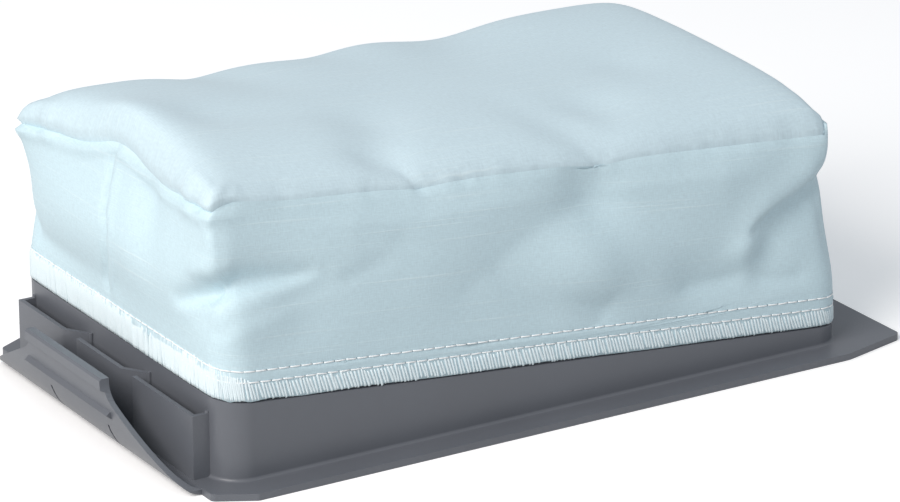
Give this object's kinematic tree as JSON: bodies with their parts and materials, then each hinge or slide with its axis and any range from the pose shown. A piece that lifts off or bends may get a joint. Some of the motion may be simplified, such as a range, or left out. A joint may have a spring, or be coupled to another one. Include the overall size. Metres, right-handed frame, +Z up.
{
  "type": "vacuum pre-filter",
  "caption": "Sewn cloth filter bag held by its hem on a shallow moulded frame with a flat flange and a spring latch at one end.",
  "frame": {"origin": "middle of the wall's plan, on the underside of the flange", "axes": "+X along the long side, away from the latch; +Y across, towards the side without the pictured long face; +Z up, from the flange to the bag"},
  "size_m": [0.2372, 0.1364, 0.089],
  "materials": {
    "frame_plastic": "dark blue-grey, finely satin",
    "elastic": "white woven elastic",
    "filter_cloth": "pale blue, thin, slightly shiny woven cloth"
  },
  "bodies": {
    "root": {"frame": "frame_plastic", "hem_elastic": "elastic", "bag_crown": "filter_cloth", "bag_side_band": "filter_cloth"}
  },
  "joints": []
}
